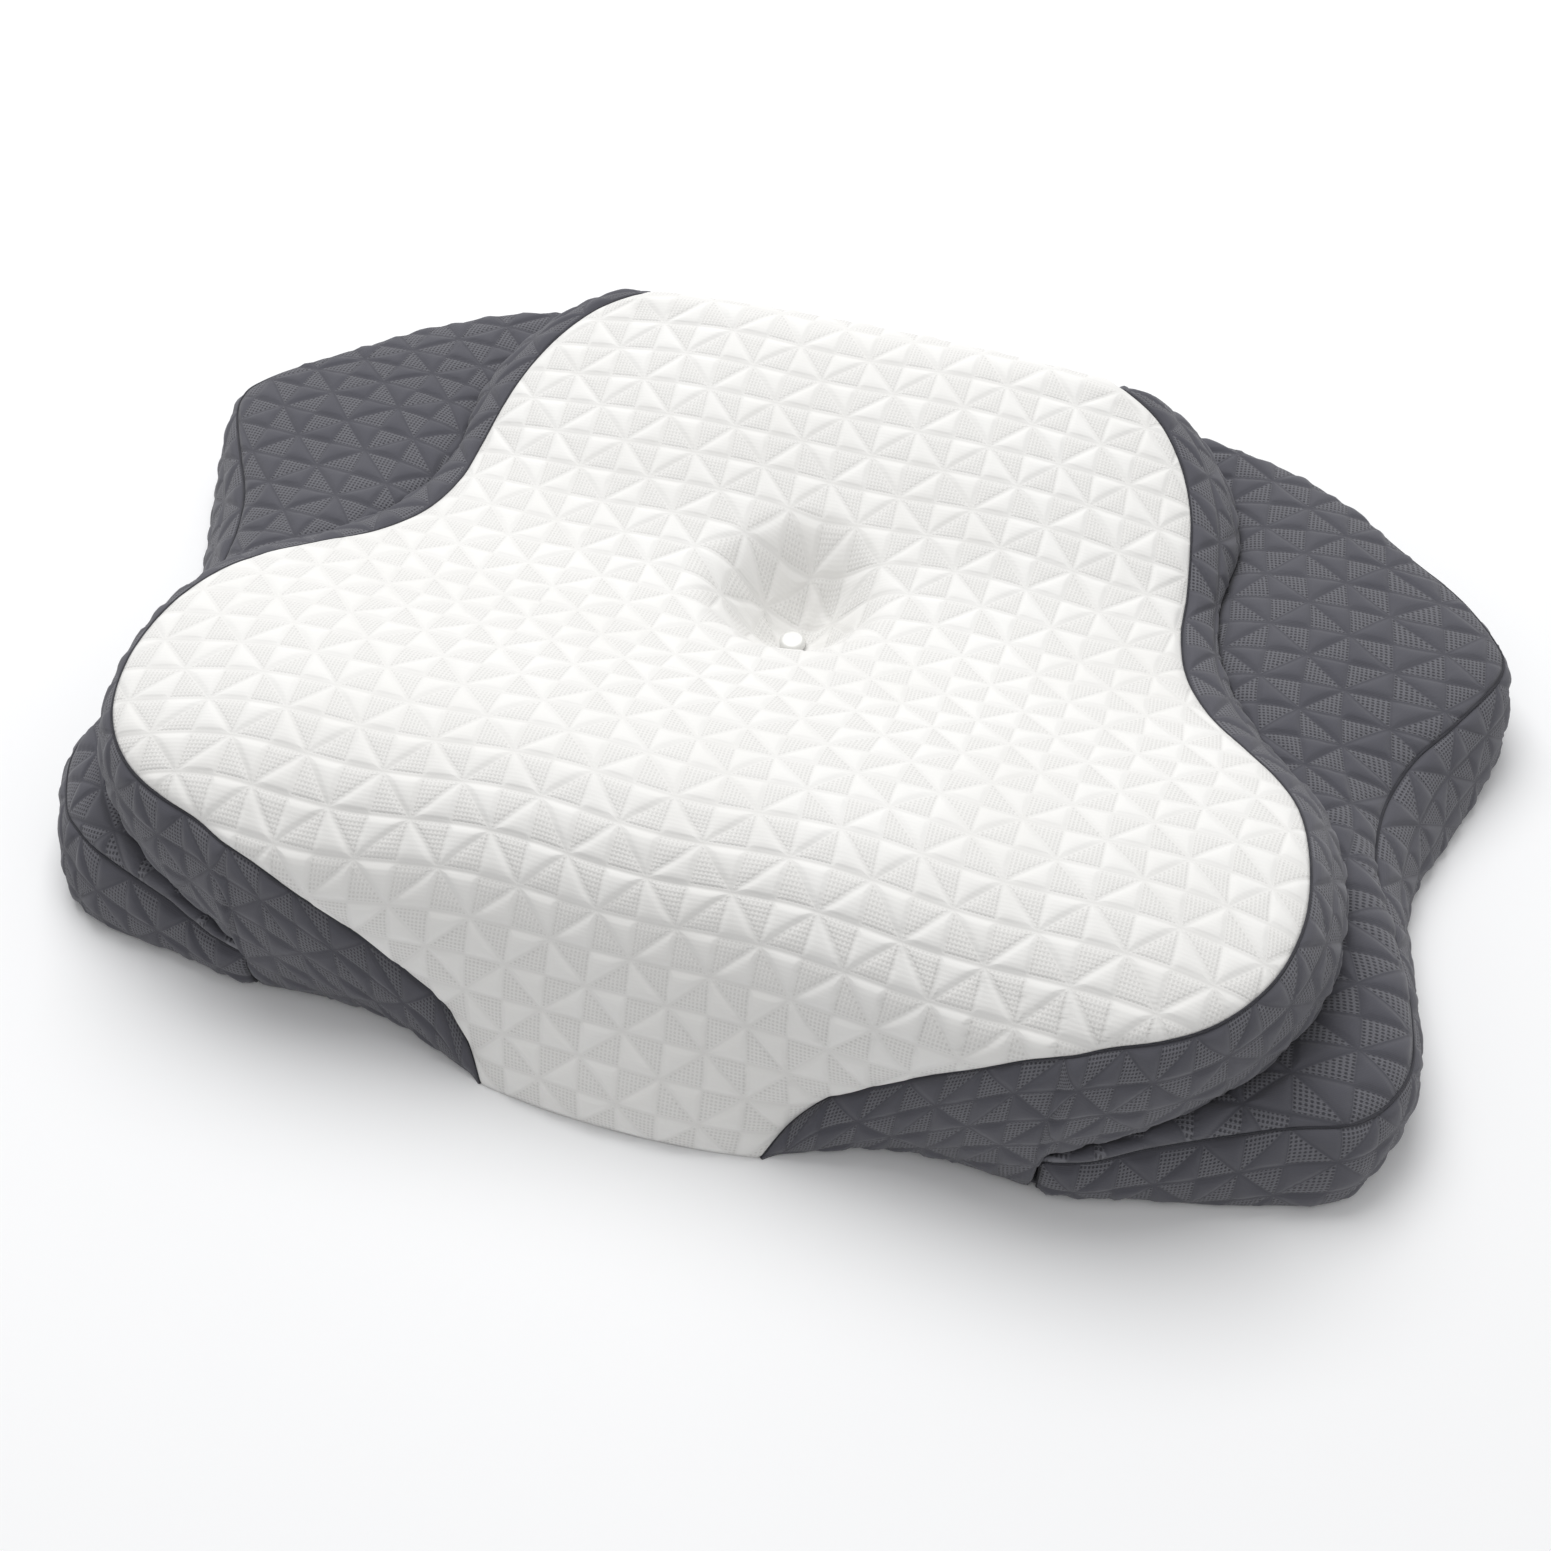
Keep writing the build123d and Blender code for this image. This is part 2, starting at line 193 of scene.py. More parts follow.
def settled(points):
    # How the soft base lies: the right wings spread out a little, the left front wing turns in and forward,
    # the left rear wing slips forward. Each is a distance times smooth steps of x and y, so seams stay joined.
    points = np.array(points, float)
    x, y = points[:, 0].copy(), points[:, 1].copy()
    front = 1 - smoothStep(*lie["frontBand"], y)
    rear = smoothStep(*lie["rearBand"], y)
    points[:, 0] += lie["rightOut"] * smoothStep(*lie["rightBand"], x)
    points[:, 0] += lie["leftIn"] * smoothStep(*lie["leftBand"], -x) * front
    points[:, 1] -= lie["leftForward"] * smoothStep(*lie["forwardBand"], -x) * front
    points[:, 1] -= lie["rearForward"] * smoothStep(*lie["slipBand"], -x) * rear
    return points


def meshObject(name, points, faces, uv=None):
    # A smooth mesh that rides on the pillow; uv, one pair per point, is the place in the cloth's pattern.
    mesh = bpy.data.meshes.new(name)
    mesh.from_pydata(settled(points).tolist(), [], faces if isinstance(faces, list) else faces.tolist())
    if uv is not None:
        corners = np.zeros(len(mesh.loops), np.int32)
        mesh.loops.foreach_get("vertex_index", corners)
        layer = mesh.uv_layers.new(name="cloth")
        layer.data.foreach_set("uv", np.asarray(uv)[corners].astype(np.float32).ravel())
    mesh.polygons.foreach_set("use_smooth", [True] * len(mesh.polygons))
    mesh.update()
    made = bpy.data.objects.new(name, mesh)
    bpy.context.scene.collection.objects.link(made)
    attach(made, "pillow")
    return made


def gridFaces(rows, columns, flip=False, closedAcross=False):
    # One quad between each two neighbouring rows and columns; flip turns the quads over.
    across = columns if closedAcross else columns - 1
    i, j = np.meshgrid(np.arange(rows - 1), np.arange(across), indexing="ij")
    nextJ = (j + 1) % columns
    here, ahead = i * columns, (i + 1) * columns
    quads = np.stack([here + j, here + nextJ, ahead + nextJ, ahead + j], -1)
    quads = quads.reshape(-1, 4)
    return quads[:, ::-1] if flip else quads


clothThickness = 3 * mm
floorGap = 0.2 * mm


def clothPanel(name, points, uv, material, flip=False):
    # A grid of cloth with its thickness laid on the inner side, thinner where that would reach below the floor.
    rows, columns = points.shape[:2]
    upward = gridNormals(points)[..., 2] * (-1 if flip else 1)
    share = np.clip(points[..., 2] / (clothThickness * np.clip(upward, 0.02, 1)), 0.03, 1).ravel()
    panel = meshObject(name, points.reshape(-1, 3), gridFaces(rows, columns, flip), uv=uv.reshape(-1, 2))
    panel.data.materials.append(material)
    wall = panel.modifiers.new("clothThickness", "SOLIDIFY")
    wall.thickness = clothThickness
    wall.offset = -1
    thickness = panel.vertex_groups.new(name="clothThickness")
    thickness.add(np.flatnonzero(share >= 1).tolist(), 1.0, "REPLACE")
    for i in np.flatnonzero(share < 1).tolist():
        thickness.add([i], float(share[i]), "REPLACE")
    wall.vertex_group = thickness.name
    return panel


def newGroup(name, inputs, outputs):
    # A shader group with its sockets, and its input and output nodes.
    group = bpy.data.node_groups.new(name, "ShaderNodeTree")
    for label, kind, value in inputs:
        socket = group.interface.new_socket(name=label, in_out="INPUT", socket_type=kind)
        if value is not None:
            socket.default_value = value
    for label, kind in outputs:
        group.interface.new_socket(name=label, in_out="OUTPUT", socket_type=kind)
    return group, group.nodes.new("NodeGroupInput"), group.nodes.new("NodeGroupOutput")


def mathNode(tree, operation, *values, clamp=False):
    node = tree.nodes.new("ShaderNodeMath")
    node.operation = operation
    node.use_clamp = clamp
    for socket, value in zip(node.inputs, values):
        if isinstance(value, (int, float)):
            socket.default_value = value
        else:
            tree.links.new(value, socket)
    return node.outputs[0]


def mapNode(tree, value, low, high, toLow=0.0, toHigh=1.0):
    node = tree.nodes.new("ShaderNodeMapRange")
    node.interpolation_type = "SMOOTHSTEP"
    for label, setting in (("From Min", low), ("From Max", high), ("To Min", toLow), ("To Max", toHigh)):
        if isinstance(setting, (int, float)):
            node.inputs[label].default_value = setting
        else:
            tree.links.new(setting, node.inputs[label])
    tree.links.new(value, node.inputs["Value"])
    return node.outputs["Result"]


def mixColour(tree, factor, first, second):
    node = tree.nodes.new("ShaderNodeMix")
    node.data_type = "RGBA"
    for label, value in ((0, factor), (6, first), (7, second)):
        socket = node.inputs[label]
        if isinstance(value, bpy.types.NodeSocket):
            tree.links.new(value, socket)
        else:
            socket.default_value = value
    return node.outputs[2]


def noiseNode(tree, vector, scale, detail=3.0):
    node = tree.nodes.new("ShaderNodeTexNoise")
    node.inputs["Scale"].default_value = scale
    node.inputs["Detail"].default_value = detail
    node.inputs["Roughness"].default_value = 0.55
    tree.links.new(vector, node.inputs["Vector"])
    return node.outputs["Fac"]


def buildQuiltGroup():
    # Pattern is in cells. Groove: 1 on a sewn line. Open mesh: 1 in every other triangle.
    # Pin hole: 1 in a dot there.
    # Height: puffs, pin holes and knit rows together.
    group, ins, outs = newGroup(
        "quiltedKnit",
        [("Pattern", "NodeSocketVector", None), ("Dots Per Cell", "NodeSocketFloat", 10.0),
         ("Rows Per Cell", "NodeSocketFloat", 26.0), ("Pin Depth", "NodeSocketFloat", 0.6)],
        [("Groove", "NodeSocketFloat"), ("Open Mesh", "NodeSocketFloat"), ("Pin Hole", "NodeSocketFloat"),
         ("Height", "NodeSocketFloat")])
    split = group.nodes.new("ShaderNodeSeparateXYZ")
    group.links.new(ins.outputs["Pattern"], split.inputs[0])
    s, t = split.outputs[0], split.outputs[1]
    half = [mathNode(group, "MULTIPLY", mathNode(group, sign, s, t), 0.5) for sign in ("SUBTRACT", "ADD")]
    distances = []
    parity = None
    root = math.sqrt(2)
    acrossLift, diagonalLift = 0.03, 0.015
    families = [(s, 1.0, acrossLift), (t, 1.0, 0.0)]
    families += [(line, root, diagonalLift) for line in half]
    for line, stretch, lift in families:
        away = mathNode(group, "ABSOLUTE", mathNode(group, "SUBTRACT", line, mathNode(group, "ROUND", line)))
        distances.append(mathNode(group, "ADD", mathNode(group, "MULTIPLY", away, stretch), lift))
        cell = mathNode(group, "FLOOR", line)
        parity = cell if parity is None else mathNode(group, "ADD", parity, cell)
    nearest = distances[0]
    for other in distances[1:]:
        nearest = mathNode(group, "MINIMUM", nearest, other)
    openCell = mathNode(group, "FLOORED_MODULO", parity, 2.0)
    # Groove mask, used only to paint shade along the sewn lines.
    paintedGrooveShade = mapNode(group, nearest, 0.0, 0.075, 1.0, 0.0)
    inside = mapNode(group, nearest, 0.03, 0.07)
    meshMask = mathNode(group, "MULTIPLY", mathNode(group, "GREATER_THAN", openCell, 0.5), inside)
    squares = []
    for line in (s, t):
        place = mathNode(group, "FRACT", mathNode(group, "MULTIPLY", line, ins.outputs["Dots Per Cell"]))
        fromMiddle = mathNode(group, "ABSOLUTE", mathNode(group, "SUBTRACT", place, 0.5))
        squares.append(mathNode(group, "POWER", fromMiddle, 2.0))
    dotRadius = mathNode(group, "SQRT", mathNode(group, "ADD", *squares))
    # Pin hole mask: it sinks the bump and carries the painted shade in the holes.
    shadedPinHole = mathNode(group, "MULTIPLY", mapNode(group, dotRadius, 0.2, 0.42, 1.0, 0.0), meshMask)
    rowPlace = mathNode(group, "MULTIPLY", t, ins.outputs["Rows Per Cell"])
    rowWave = mathNode(group, "SINE", mathNode(group, "MULTIPLY", rowPlace, 2 * math.pi))
    rowShare = mathNode(group, "ADD", mathNode(group, "MULTIPLY", meshMask, 0.14), 0.05)
    ribs = mathNode(group, "MULTIPLY", rowWave, rowShare)
    height = mathNode(group, "ADD", mapNode(group, nearest, 0.0, 0.16), ribs)
    height = mathNode(group, "SUBTRACT", height, mathNode(group, "MULTIPLY", shadedPinHole, ins.outputs["Pin Depth"]))
    for label, value in (("Groove", paintedGrooveShade), ("Open Mesh", meshMask), ("Pin Hole", shadedPinHole), ("Height", height)):
        group.links.new(value, outs.inputs[label])
    return group


def buildWeaveGroup():
    # Two crossed sines and a third along Z: Thread is their sum about a half, Drift a slow change of shade.
    group, ins, outs = newGroup(
        "plainWeave", [("Place", "NodeSocketVector", None), ("Threads", "NodeSocketFloat", 900.0)],
        [("Thread", "NodeSocketFloat"), ("Drift", "NodeSocketFloat")])
    split = group.nodes.new("ShaderNodeSeparateXYZ")
    group.links.new(ins.outputs["Place"], split.inputs[0])
    waves = []
    for axis in (0, 1, 2):
        turned = mathNode(group, "MULTIPLY", split.outputs[axis], ins.outputs["Threads"])
        waves.append(mathNode(group, "SINE", mathNode(group, "MULTIPLY", turned, 2 * math.pi)))
    crossed = mathNode(group, "MULTIPLY", mathNode(group, "MULTIPLY", waves[0], waves[1]), 0.5)
    upright = mathNode(group, "MULTIPLY", waves[2], 0.25)
    thread = mathNode(group, "ADD", mathNode(group, "ADD", crossed, upright), 0.5)
    group.links.new(thread, outs.inputs["Thread"])
    group.links.new(noiseNode(group, ins.outputs["Place"], 24.0), outs.inputs["Drift"])
    return group


quiltGroup = buildQuiltGroup()
weaveGroup = buildWeaveGroup()


def newMaterial(name, roughness, sheen=0.0, metallic=0.0, specular=0.3):
    material = bpy.data.materials.new(name)
    material.use_nodes = True
    shader = material.node_tree.nodes["Principled BSDF"]
    shader.inputs["Roughness"].default_value = roughness
    shader.inputs["Sheen Weight"].default_value = sheen
    shader.inputs["Sheen Roughness"].default_value = 0.6
    shader.inputs["Metallic"].default_value = metallic
    shader.inputs["Specular IOR Level"].default_value = specular
    return material, material.node_tree, shader


def placeNode(tree, source):
    node = tree.nodes.new("ShaderNodeTexCoord")
    return node.outputs[source]


def bumpInto(tree, shader, height, strength, distance):
    node = tree.nodes.new("ShaderNodeBump")
    node.inputs["Strength"].default_value = strength
    node.inputs["Distance"].default_value = distance
    tree.links.new(height, node.inputs["Height"])
    tree.links.new(node.outputs[0], shader.inputs["Normal"])


def quiltMaterial(name, settings):
    # Colour drifts slowly at random; open mesh is laid over it, then painted shade in the pin holes and the
    # sewn grooves, each by its own share.
    material, tree, shader = newMaterial(
        name, settings["roughness"], settings["sheen"], specular=settings["gloss"])
    uvPlace = tree.nodes.new("ShaderNodeUVMap")
    uvPlace.uv_map = "cloth"
    knit = tree.nodes.new("ShaderNodeGroup")
    knit.node_tree = quiltGroup
    knit.inputs["Dots Per Cell"].default_value = settings["dots"]
    knit.inputs["Rows Per Cell"].default_value = settings["rows"]
    knit.inputs["Pin Depth"].default_value = settings["pinDepth"]
    tree.links.new(uvPlace.outputs[0], knit.inputs["Pattern"])
    drift = noiseNode(tree, placeNode(tree, "Object"), 14.0)
    fuzz = noiseNode(tree, placeNode(tree, "Object"), 1600.0, 2.0)
    base = mixColour(tree, mapNode(tree, drift, 0.3, 0.7), settings["smooth"], settings["smoothShade"])
    base = mixColour(tree, mathNode(tree, "MULTIPLY", knit.outputs["Open Mesh"], settings["openShare"]),
                     base, settings["open"])
    # Painted shade: the pin holes are darkened where shade falls in them.
    base = mixColour(tree, mathNode(tree, "MULTIPLY", knit.outputs["Pin Hole"], settings["pinHoleShadeShare"]),
                     base, settings["shadedPinHole"])
    # Painted shade: the sewn grooves are darkened where shade falls in them.
    base = mixColour(tree, mathNode(tree, "MULTIPLY", knit.outputs["Groove"], settings["paintedGrooveShadeShare"]),
                     base, settings["paintedGrooveShade"])
    tree.links.new(base, shader.inputs["Base Color"])
    height = mathNode(tree, "ADD", knit.outputs["Height"], mathNode(tree, "MULTIPLY", fuzz, 0.16))
    bumpInto(tree, shader, height, settings["bump"], settings["bumpDepth"])
    return material


whiteFinish = {
    "smooth": (0.83, 0.825, 0.81, 1), "smoothShade": (0.80, 0.793, 0.775, 1),
    "open": (0.785, 0.778, 0.762, 1),
    # The pin and groove colours are painted shade, darker where shade falls in the pin holes and the sewn
    # grooves.
    "shadedPinHole": (0.50, 0.49, 0.475, 1), "paintedGrooveShade": (0.60, 0.59, 0.575, 1), "openShare": 0.8, "pinHoleShadeShare": 0.35,
    "paintedGrooveShadeShare": 0.22, "dots": 10.0, "rows": 10.0, "pinDepth": 0.3, "roughness": 0.88, "sheen": 0.12,
    "gloss": 0.2, "bump": 0.7, "bumpDepth": 0.45 * mm,
}
greyFinish = {
    "smooth": (0.086, 0.086, 0.102, 1), "smoothShade": (0.072, 0.072, 0.088, 1),
    "open": (0.150, 0.150, 0.170, 1),
    # The pin and groove colours are painted shade, darker where shade falls in the pin holes and the sewn
    # grooves.
    "shadedPinHole": (0.030, 0.030, 0.038, 1), "paintedGrooveShade": (0.045, 0.045, 0.056, 1), "openShare": 0.85, "pinHoleShadeShare": 0.85,
    "paintedGrooveShadeShare": 0.45, "dots": 10.0, "rows": 24.0, "pinDepth": 0.7, "roughness": 0.8, "sheen": 0.18,
    "gloss": 0.3, "bump": 0.8, "bumpDepth": 0.5 * mm,
}
whiteKnit = quiltMaterial("whiteQuiltedKnit", whiteFinish)
greyKnit = quiltMaterial("slateQuiltedKnit", greyFinish)


def wovenMaterial(name, colour, shade, threads, roughness=0.85, sheen=0.1, depth=0.15 * mm):
    # Threads per metre go from shade to colour, a slow drift darkens them.
    material, tree, shader = newMaterial(name, roughness, sheen)
    weave = tree.nodes.new("ShaderNodeGroup")
    weave.node_tree = weaveGroup
    weave.inputs["Threads"].default_value = threads
    tree.links.new(placeNode(tree, "Object"), weave.inputs["Place"])
    base = mixColour(tree, weave.outputs["Thread"], shade, colour)
    darker = tuple(c * 0.86 for c in colour[:3]) + (1,)
    base = mixColour(tree, mapNode(tree, weave.outputs["Drift"], 0.45, 0.8, 0.0, 0.5), base, darker)
    tree.links.new(base, shader.inputs["Base Color"])
    bumpInto(tree, shader, weave.outputs["Thread"], 0.6, depth)
    return material


def solidMaterial(name, colour, shade, roughness, noiseScale, depth, metallic=0.0, coat=0.0):
    # Moulded or cast finish: a slow change of shade and a fine grain.
    material, tree, shader = newMaterial(name, roughness, metallic=metallic, specular=0.5)
    shader.inputs["Coat Weight"].default_value = coat
    place = placeNode(tree, "Object")
    drift = mapNode(tree, noiseNode(tree, place, noiseScale * 0.1), 0.35, 0.65)
    tree.links.new(mixColour(tree, drift, colour, shade), shader.inputs["Base Color"])
    grain = noiseNode(tree, place, noiseScale)
    dull = mapNode(tree, grain, 0.2, 0.8, roughness - 0.05, roughness + 0.07)
    tree.links.new(dull, shader.inputs["Roughness"])
    bumpInto(tree, shader, grain, 0.4, depth)
    return material


underCloth = wovenMaterial("underCloth", (0.11, 0.112, 0.126, 1), (0.055, 0.056, 0.065, 1), 700)
linerCloth = wovenMaterial("linerJersey", (0.86, 0.86, 0.85, 1), (0.72, 0.72, 0.71, 1), 1100)
tapeCloth = wovenMaterial("zipTape", (0.10, 0.101, 0.115, 1), (0.05, 0.05, 0.06, 1), 1200)
webCloth = wovenMaterial("stayWebbing", (0.82, 0.82, 0.80, 1), (0.6, 0.6, 0.58, 1), 900)
labelCloth = wovenMaterial(
    "labelSatin", (0.88, 0.88, 0.88, 1), (0.78, 0.78, 0.78, 1), 2200, roughness=0.4, sheen=0.3, depth=0.05 * mm)
# Seam thread: a real thread, made dark also to stand for the painted shadow along each seam's crevice.
seamThreadAndShadow = wovenMaterial("slateThreadAndSeamShadow", (0.05, 0.05, 0.06, 1), (0.02, 0.02, 0.026, 1), 1500)
coilPlastic = solidMaterial("coilNylon", (0.07, 0.07, 0.082, 1), (0.05, 0.05, 0.06, 1), 0.38, 900, 0.03 * mm)
zipMetal = solidMaterial(
    "zipMetal", (0.13, 0.134, 0.148, 1), (0.10, 0.10, 0.112, 1), 0.42, 700, 0.03 * mm, metallic=0.6)
buttonResin = solidMaterial(
    "buttonResin", (0.70, 0.70, 0.68, 1), (0.64, 0.64, 0.62, 1), 0.30, 300, 0.02 * mm, coat=0.4)
foamCells = solidMaterial("memoryFoam", (0.86, 0.83, 0.74, 1), (0.80, 0.77, 0.68, 1), 0.95, 1400, 0.4 * mm)
print("materials ready")


topPanelSizes = {
    "spacing": 2.1 * mm, "edgePuff": 3.2 * mm, "edgeReach": 6 * mm,
    "wallPower": 2.2, "crownPower": 2.6, "endShare": 0.12, "seamFade": 5 * mm, "calmBand": (10 * mm, 44 * mm),
    "dimpleDepth": 32 * mm, "dimpleFloor": 4 * mm, "dimpleRim": 48 * mm, "dishDepth": 5 * mm,
    "dishSpread": 62 * mm, "foldDepth": 1.3 * mm, "foldStart": (6 * mm, 14 * mm), "foldEnd": (24 * mm, 46 * mm),
}


def dimpleSink(x, y):
    # A steep bowl, depth times a smooth step from its rim in to its floor, in a wide shallow dish,
    # with soft folds that run out from the button.
    dx, dy = x, y - dimplePlace
    r = np.hypot(dx, dy)
    angle = np.arctan2(dy, dx)
    size = topPanelSizes
    bowl = 1 - smoothStep(size["dimpleFloor"], size["dimpleRim"], r)
    sink = size["dimpleDepth"] * bowl + size["dishDepth"] * np.exp(-(r / size["dishSpread"]) ** 2)
    folds = 0.6 * np.cos(7 * angle + 0.5) + 0.3 * np.cos(11 * angle + 1.9) + 0.25 * np.cos(16 * angle + 0.7)
    ring = smoothStep(*size["foldStart"], r) * (1 - smoothStep(*size["foldEnd"], r))
    return sink + size["foldDepth"] * folds * ring, r


def topPanel():
    # Row by row from the seam's left half to its right: x runs evenly with u from -1 to 1,
    # y and z leave the middle line as |u|^2.2 and |u|^2.6.
    size = topPanelSizes
    at = evenPlaces(upperRows[:, :5], 0, len(upperRows) - 1, size["spacing"] * 1.05)
    rows = throughRows(upperRows, at)
    seam, middle = rows[:, None, 0:3], rows[:, None, 3:5]
    columns = int(2 * upperRows[:, 0].max() / size["spacing"])
    u = np.linspace(-1, 1, columns)[None, :]
    fromEnd = 0.5 - np.abs(at / (len(upperRows) - 1) - 0.5)
    lift = smoothStep(0, size["endShare"], fromEnd)[:, None]
    middleZ = middle[..., 1] - size["edgePuff"] * lift
    x = u * seam[..., 0]
    y = middle[..., 0] + (seam[..., 1] - middle[..., 0]) * np.abs(u) ** size["wallPower"]
    z = middleZ + (seam[..., 2] - middleZ) * np.abs(u) ** size["crownPower"]
    points = np.stack([x, y, z], -1)
    # pattern coordinates: across is x, along is the length of each column in the side view, from the hollow
    side = pathLength(points[..., 1:])
    hollow = int(np.argmin(np.abs(rows[:, 3] - dimplePlace)))
    along = side - side[hollow:hollow + 1] + y[hollow:hollow + 1]
    sink, r = dimpleSink(x, y)
    points[..., 2] -= sink
    normal = gridNormals(points)
    toEdge = np.minimum((1 - np.abs(u)) * seam[..., 0], np.minimum(side, side[-1:] - side))
    calm = smoothStep(*size["calmBand"], r)
    edge = (1 - np.exp(-toEdge / size["edgeReach"])) * (0.25 + 0.75 * calm)
    puff = size["edgePuff"] * edge
    s, t = looseCloth(x / quilt["whiteCell"][0], along / quilt["whiteCell"][1])
    tuft = quilt["whitePuff"] * quiltHeight(s, t) * smoothStep(0, size["seamFade"], toEdge) * (0.1 + 0.9 * calm)
    points = points + normal * (puff + tuft)[..., None]
    points[..., 2] = np.maximum(points[..., 2], floorGap)
    panel = clothPanel("topPanel", points, np.stack([s, t], -1), whiteKnit)
    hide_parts("top_panel")
    return panel


greySizes = {
    "spacing": 2.1 * mm, "edgePuff": 2.6 * mm, "edgeReach": 5 * mm, "seamFade": 4 * mm, "narrow": 22 * mm,
    "gussetBulge": 4.5 * mm, "gussetHeight": 50 * mm, "mostBulge": 1.3, "baseBulge": 2.2 * mm,
    "topCrown": 3 * mm, "zipReach": 172 * mm, "fill": 0.6,
}


def ruledSurface(first, second, columns, bulge):
    # Straight lines between two edges, bowed outwards by bulge times sin(pi w).
    w = np.linspace(0, 1, columns)[None, :, None]
    points = first[:, None, :] * (1 - w) + second[:, None, :] * w
    bow = (bulge if np.ndim(bulge) else np.full(len(first), bulge))[:, None, None] * np.sin(np.pi * w)
    return points + softNormals(points) * bow


def greyPanel(name, points, left, pattern, replaced):
    # Puffed away from its sewn edges and quilted; the left one is the right one's mirror image.
    size = greySizes
    across = pathLength(np.swapaxes(points, 0, 1)).T
    along = pathLength(points)
    toEdge = np.minimum(across, across[:, -1:] - across)
    toEnd = np.minimum(along, along[-1:] - along)
    near = np.minimum(toEdge, toEnd)
    normal = softNormals(points)
    s, t = looseCloth(*pattern(points, along, across))
    room = np.minimum(1, across[:, -1:] / size["narrow"])
    puff = size["edgePuff"] * (1 - np.exp(-near / size["edgeReach"])) * room
    tuft = quilt["greyPuff"] * quiltHeight(s, t) * smoothStep(0, size["seamFade"], near) * room
    points = points + normal * (puff + tuft)[..., None]
    points[..., 2] = np.maximum(points[..., 2], floorGap)
    if left:
        points = points * (-1, 1, 1)
    panel = clothPanel(name, points, np.stack([s, t], -1), greyKnit, flip=left)
    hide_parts(replaced)
    return panel


def alongPattern(points, along, across):
    # Cells run along the panel, counted from its sewn edge.
    meanAlong = along.mean(axis=1, keepdims=True) + 0 * across
    return meanAlong / quilt["greyCell"][1], across / quilt["greyCell"][1]


def planPattern(points, along, across):
    # Cells lie in the plan, turned a little with the panel's cut.
    turn = math.radians(quilt["greyTurn"])
    x, y = points[..., 0], points[..., 1]
    return ((x * math.cos(turn) + y * math.sin(turn)) / quilt["greyCell"][0],
            (y * math.cos(turn) - x * math.sin(turn)) / quilt["greyCell"][1])


upperLast = len(upperRows) - 1
lowerLast = len(lowerRows) - 1


def zipEnd():
    # The place along the lower rows where the head side reaches the zip's strip.
    fine = np.linspace(lowerLast - 5, lowerLast, 2000)
    x = throughRows(lowerRows[:, 3:6], fine)[:, 0]
    return float(np.interp(-greySizes["zipReach"], -x, fine))


def upperGusset(left):
    at = evenPlaces(upperRows[:, [0, 1, 2, 5, 6, 7]], 0, upperLast, greySizes["spacing"])
    rows = throughRows(upperRows, at)
    rows[:, 7] = np.maximum(rows[:, 7], 0)
    height = np.linalg.norm(rows[:, 5:8] - rows[:, 0:3], axis=1)
    bulge = greySizes["gussetBulge"] * np.clip(height / greySizes["gussetHeight"], 0, greySizes["mostBulge"])
    points = ruledSurface(rows[:, 0:3], rows[:, 5:8], 34, bulge)
    word = "Left" if left else "Right"
    return greyPanel("upperGusset" + word, points, left, alongPattern, "upper_gusset_" + word.lower())


def baseTop(left):
    at = evenPlaces(lowerRows[:, :6], 0, lowerLast, greySizes["spacing"])
    rows = throughRows(lowerRows, at)
    points = ruledSurface(rows[:, 0:3], rows[:, 3:6], 50, greySizes["topCrown"])
    word = "Left" if left else "Right"
    return greyPanel("baseTop" + word, points, left, planPattern, "base_top_" + word.lower())


def baseWall(at, low, high, columns):
    # The standing wall under the base seam between two shares of its height; its bow dies out beside the zip.
    rows = throughRows(lowerRows, at)
    calm = 1 - smoothStep(19, 21, at)
    w = np.linspace(low, high, columns)[None, :, None]
    first, second = rows[:, None, 3:6], rows[:, None, 6:9]
    points = first * (1 - w) + second * w
    bow = (greySizes["baseBulge"] * (0.2 + 0.8 * calm))[:, None, None] * np.sin(np.pi * w)
    return points + gridNormals(points) * bow


def baseGusset(left):
    at = evenPlaces(lowerRows[:, 3:9], 0, zipEnd(), greySizes["spacing"])
    points = baseWall(at, 0, 1, 24)
    word = "Left" if left else "Right"
    return greyPanel("baseGusset" + word, points, left, alongPattern, "base_gusset_" + word.lower())


def zipStrip(name, low, high, replaced):
    # The head-side wall above or below the zip, from one end of the strip to the other.
    half = np.linspace(zipEnd(), lowerLast, 84)
    right = baseWall(half, low, high, 12)
    points = np.concatenate([right, right[-2::-1] * (-1, 1, 1)])
    return greyPanel(name, points, False, alongPattern, replaced)


topPanel()
print("top panel sewn")
for left in (False, True):
    upperGusset(left)
    baseTop(left)
    baseGusset(left)
zipStrip("zipStripUpper", 0, 0.40, "zip_strip_upper")
zipStrip("zipStripLower", 0.585, 1, "zip_strip_lower")
print("slate panels sewn")


bottomSizes = {"height": 0.3 * mm, "thickness": 2.5 * mm, "outerShare": 0.992}


